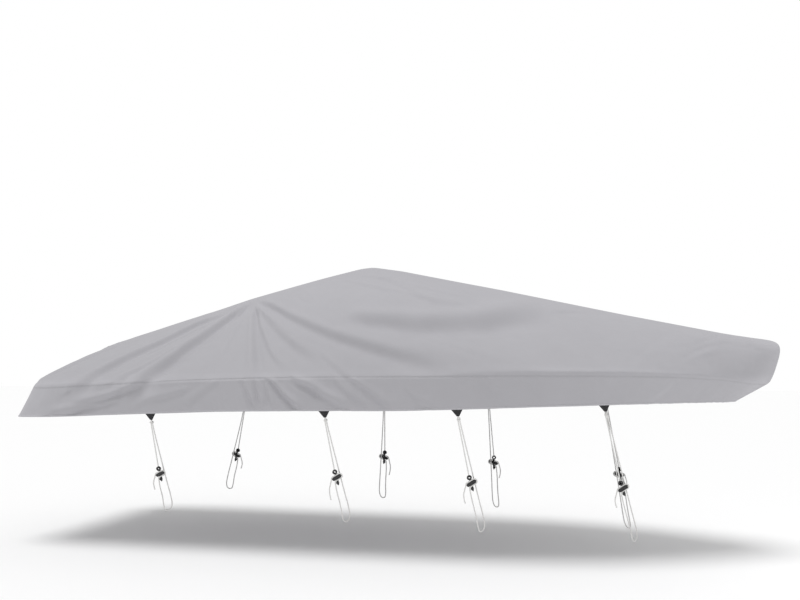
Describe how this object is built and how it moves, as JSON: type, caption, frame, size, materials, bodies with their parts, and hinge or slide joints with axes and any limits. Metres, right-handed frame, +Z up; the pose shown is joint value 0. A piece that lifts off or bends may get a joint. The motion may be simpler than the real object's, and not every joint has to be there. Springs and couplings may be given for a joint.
{
  "type": "boat cover",
  "caption": "Light grey fabric cover draped over a cuddy boat, peaked at the windshield, with a sewn-on skirt, black webbing tabs, white tie ropes and black rope tighteners.",
  "frame": {"origin": "underside of the cloth at its highest point, over the windshield that carries it", "axes": "+X towards the bow, +Y to port, +Z up"},
  "size_m": [7.5871, 2.4415, 2.752],
  "materials": {
    "roof_cloth": "matte coated cloth",
    "skirt_cloth": "matte coated cloth",
    "webbing": "matte woven tape",
    "rope": "matte braid",
    "black_plastic": "moulded, satin"
  },
  "bodies": {
    "root": {"top_panel": "roof_cloth", "skirt": "skirt_cloth", "skirt_transom": "skirt_cloth", "tab_starboard_aft": "webbing", "tab_starboard_mid_aft": "webbing", "tab_starboard_mid_fore": "webbing", "tab_starboard_fore": "webbing", "tab_port_aft": "webbing", "tab_port_mid_aft": "webbing", "tab_port_mid_fore": "webbing", "tab_port_fore": "webbing", "knot_starboard_aft": "rope", "knot_starboard_mid_aft": "rope", "knot_starboard_mid_fore": "rope", "knot_starboard_fore": "rope", "knot_port_aft": "rope", "knot_port_mid_aft": "rope", "knot_port_mid_fore": "rope", "knot_port_fore": "rope", "tightener_starboard_aft": "black_plastic", "tightener_starboard_mid_aft": "black_plastic", "tightener_starboard_mid_fore": "black_plastic", "tightener_starboard_fore": "black_plastic", "tightener_port_aft": "black_plastic", "tightener_port_mid_aft": "black_plastic", "tightener_port_mid_fore": "black_plastic", "tightener_port_fore": "black_plastic", "rope_short_starboard_aft": "rope", "rope_short_starboard_mid_aft": "rope", "rope_short_starboard_mid_fore": "rope", "rope_short_starboard_fore": "rope", "rope_short_port_aft": "rope", "rope_short_port_mid_aft": "rope", "rope_short_port_mid_fore": "rope", "rope_short_port_fore": "rope", "rope_long_starboard_aft": "rope", "rope_long_starboard_mid_aft": "rope", "rope_long_starboard_mid_fore": "rope", "rope_long_starboard_fore": "rope", "rope_long_port_aft": "rope", "rope_long_port_mid_aft": "rope", "rope_long_port_mid_fore": "rope", "rope_long_port_fore": "rope"}
  },
  "joints": []
}
